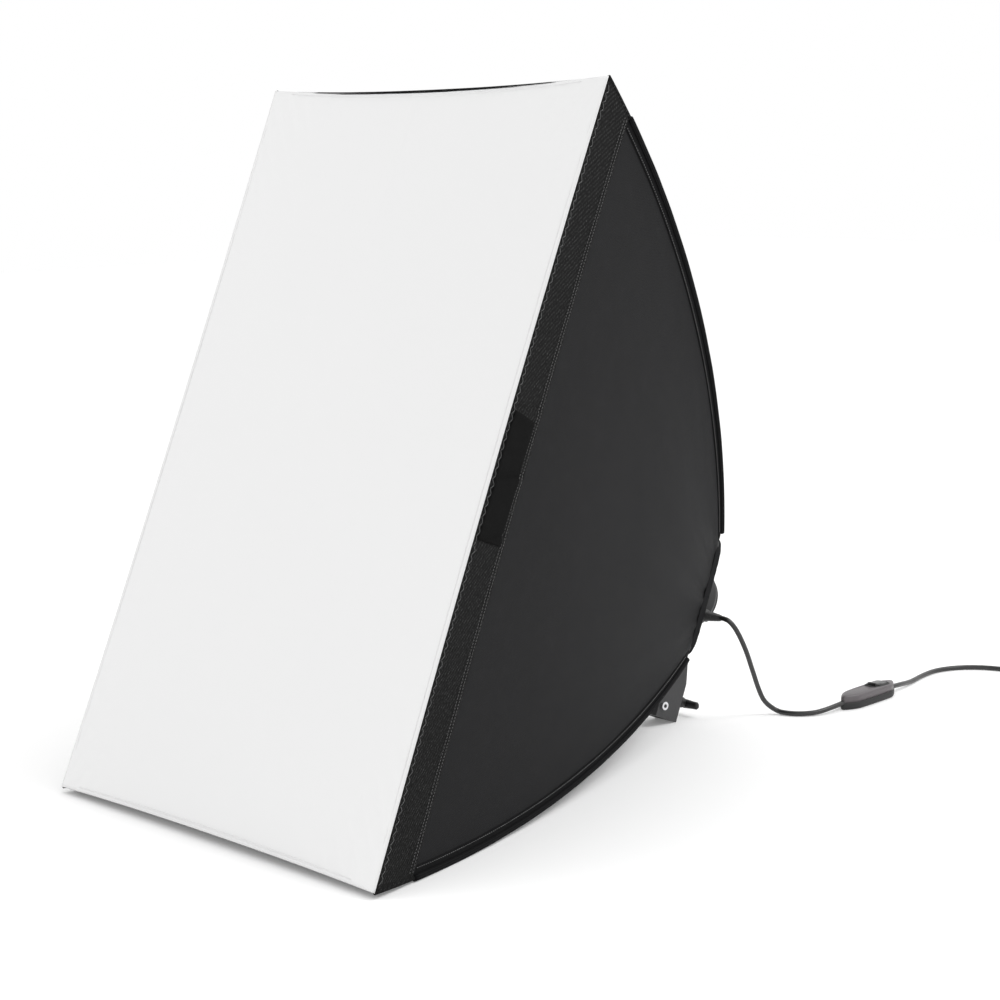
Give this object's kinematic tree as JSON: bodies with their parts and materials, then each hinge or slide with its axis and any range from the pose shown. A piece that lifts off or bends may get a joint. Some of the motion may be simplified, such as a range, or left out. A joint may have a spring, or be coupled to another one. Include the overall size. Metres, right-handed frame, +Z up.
{
  "type": "studio softbox",
  "caption": "Folding rectangular studio softbox with sprung rods, front diffuser, lamp holder, tilting stand bracket and switched cord.",
  "frame": {"origin": "on the floor under the middle of the softbox's own footprint, cord left out", "axes": "+Z up, the diffuser faces -Y and leans back, +X to the right seen from the front"},
  "size_m": [0.604, 1.1428, 0.6963],
  "materials": {
    "nylon": "matte",
    "webbing": "matte",
    "silver_lining": "satin",
    "diffuser_cloth": "matte",
    "rod_steel": "satin",
    "bright_steel": "gloss",
    "black_paint": "satin",
    "black_plastic": "matte",
    "black_gloss": "gloss",
    "switch_grey": "satin",
    "holder_ceramic": "satin",
    "contact_brass": "satin",
    "cap_aluminium": "satin",
    "bulb_white": "gloss",
    "bulb_glass": "frosted",
    "cord_rubber": "satin"
  },
  "bodies": {
    "lamp": {"hub_plate": "black_paint", "hinge_pins": "bright_steel", "sleeve": "nylon", "housing": "black_plastic", "housing_cap": "black_plastic", "housing_screws": "bright_steel", "holder_shell": "holder_ceramic", "holder_contact": "contact_brass", "tilt_lug": "black_paint", "strain_relief": "cord_rubber", "cord_lead": "cord_rubber", "switch_lower": "black_plastic", "switch_upper": "switch_grey", "cord_tail": "cord_rubber", "cord_coil": "cord_rubber", "cord_end": "cord_rubber", "plug_body": "black_plastic", "plug_pins": "bright_steel"},
    "arm_tr": {"rod_tr": "rod_steel", "pocket_tr": "webbing", "piping_tr": "webbing"},
    "arm_tl": {"rod_tl": "rod_steel", "pocket_tl": "webbing", "piping_tl": "webbing"},
    "arm_br": {"rod_br": "rod_steel", "pocket_br": "webbing", "piping_br": "webbing"},
    "arm_bl": {"rod_bl": "rod_steel", "pocket_bl": "webbing", "piping_bl": "webbing"},
    "wall_right": {"panel_right": "nylon", "lining_right": "silver_lining", "band_right": "webbing", "loop_right": "webbing"},
    "wall_left": {"panel_left": "nylon", "lining_left": "silver_lining", "band_left": "webbing", "loop_left": "webbing"},
    "wall_top": {"panel_top": "nylon", "lining_top": "silver_lining", "band_top": "webbing", "loop_top": "webbing"},
    "wall_bottom": {"panel_bottom": "nylon", "lining_bottom": "silver_lining", "band_bottom": "webbing", "loop_bottom": "webbing"},
    "front": {"diffuser": "diffuser_cloth", "diffuser_strips": "diffuser_cloth"},
    "bulb": {"bulb_cap": "cap_aluminium", "bulb_body": "bulb_white", "bulb_globe": "bulb_glass"},
    "bracket": {"cheeks": "black_paint", "socket_block": "black_paint", "block_bolts": "bright_steel", "pivot_bolt": "black_paint"},
    "knob": {"pivot_knob": "black_plastic"},
    "clamp": {"clamp_screw": "bright_steel", "clamp_handle": "black_gloss"},
    "key": {"rocker": "black_gloss"}
  },
  "joints": [
    {"name": "fold", "type": "hinge", "parent": "lamp", "child": "wall_bottom", "pos_m": [0, 0.26063, 0.0796], "axis": [-1, 0, 0], "range_deg": [0, 27], "deforming": ["panel_bottom", "lining_bottom", "band_bottom", "loop_bottom", "diffuser", "diffuser_strips"]},
    {"name": "fold_top", "type": "hinge", "parent": "lamp", "child": "wall_top", "pos_m": [0, 0.31636, 0.2078], "axis": [1, 0, 0], "range_deg": [0, 27.01], "deforming": ["panel_top", "lining_top", "band_top", "loop_top"]},
    {"name": "fold_right", "type": "hinge", "parent": "lamp", "child": "wall_right", "pos_m": [0.04659, 0.2885, 0.1437], "axis": [0, -0.3987, -0.9171], "range_deg": [0, 18.98], "deforming": ["panel_right", "lining_right", "band_right", "loop_right"]},
    {"name": "fold_left", "type": "hinge", "parent": "lamp", "child": "wall_left", "pos_m": [-0.04659, 0.2885, 0.1437], "axis": [0, 0.3987, 0.9171], "range_deg": [0, 18.98], "deforming": ["panel_left", "lining_left", "band_left", "loop_left"]},
    {"name": "rod_tr_fold", "type": "hinge", "parent": "lamp", "child": "arm_tr", "pos_m": [0.03652, 0.30208, 0.19753], "axis": [0.8321, -0.2211, -0.5087], "range_deg": [0, 31.61]},
    {"name": "rod_tl_fold", "type": "hinge", "parent": "lamp", "child": "arm_tl", "pos_m": [-0.03652, 0.30208, 0.19753], "axis": [0.8321, 0.2211, 0.5087], "range_deg": [0, 31.61]},
    {"name": "rod_br_fold", "type": "hinge", "parent": "lamp", "child": "arm_br", "pos_m": [0.03652, 0.2584, 0.09705], "axis": [-0.8321, -0.2211, -0.5087], "range_deg": [0, 31.61]},
    {"name": "rod_bl_fold", "type": "hinge", "parent": "lamp", "child": "arm_bl", "pos_m": [-0.03652, 0.2584, 0.09705], "axis": [-0.8321, 0.2211, 0.5087], "range_deg": [0, 31.61]},
    {"name": "diffuser_off", "type": "slide", "parent": "lamp", "child": "front", "axis": [0, -0.9171, 0.3987], "range_m": [0, 0.12]},
    {"name": "bulb_out", "type": "slide", "parent": "lamp", "child": "bulb", "axis": [0, -0.9171, 0.3987], "range_m": [0, 0.15]},
    {"name": "tilt", "type": "hinge", "parent": "lamp", "child": "bracket", "pos_m": [0, 0.28284, 0.06547], "axis": [1, 0, 0], "range_deg": [-10, 90]},
    {"name": "knob_turn", "type": "hinge", "parent": "bracket", "child": "knob", "pos_m": [-0.02, 0.28284, 0.06547], "axis": [-1, 0, 0], "range_deg": [0, 360]},
    {"name": "clamp_turn", "type": "hinge", "parent": "bracket", "child": "clamp", "pos_m": [0, 0.2944, 0.01683], "axis": [0, 0.9171, -0.3987], "range_deg": [0, 360]},
    {"name": "rocker_press", "type": "hinge", "parent": "lamp", "child": "key", "pos_m": [0.11239, 0.50243, 0.015], "axis": [0.9962, 0.0872, 0], "range_deg": [0, 12]}
  ],
  "couplings": [
    {"joint": "fold_top", "follows": "fold", "ratio": 1},
    {"joint": "fold_right", "follows": "fold", "ratio": 0.7027},
    {"joint": "fold_left", "follows": "fold", "ratio": 0.7027},
    {"joint": "rod_tr_fold", "follows": "fold", "ratio": 1.1706},
    {"joint": "rod_tl_fold", "follows": "fold", "ratio": 1.1706},
    {"joint": "rod_br_fold", "follows": "fold", "ratio": 1.1706},
    {"joint": "rod_bl_fold", "follows": "fold", "ratio": 1.1706}
  ]
}
